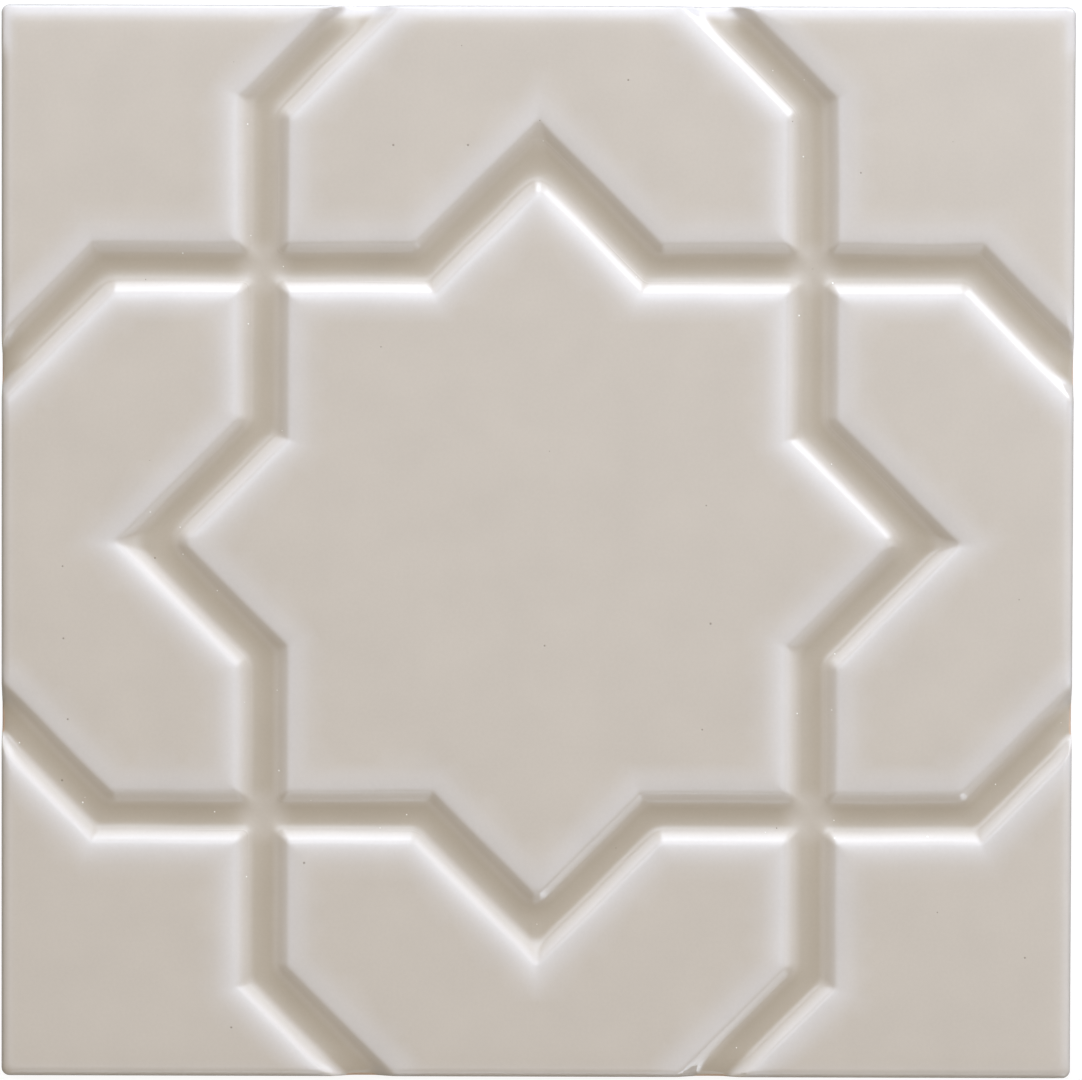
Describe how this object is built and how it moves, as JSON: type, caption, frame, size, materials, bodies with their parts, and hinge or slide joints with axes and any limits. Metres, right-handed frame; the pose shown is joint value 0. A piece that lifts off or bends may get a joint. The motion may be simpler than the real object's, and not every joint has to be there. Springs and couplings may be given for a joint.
{
  "type": "relief wall tile",
  "caption": "Square glazed ceramic wall tile with an eight-pointed star and cross relief of raised panels between recessed grooves.",
  "frame": {"origin": "middle of the back, which lies on z = 0", "axes": "+Z out of the glazed face, X and Y along the sides; in the picture +X is to the right and +Y is up"},
  "size_m": [0.148, 0.148, 0.009],
  "materials": {
    "glaze": "glossy warm grey-beige glaze, a little deeper and greener where it pools in the grooves; bare pinkish-tan clay on the back and low on the sides"
  },
  "bodies": {
    "root": {"relief_tile": "glaze"}
  },
  "joints": []
}
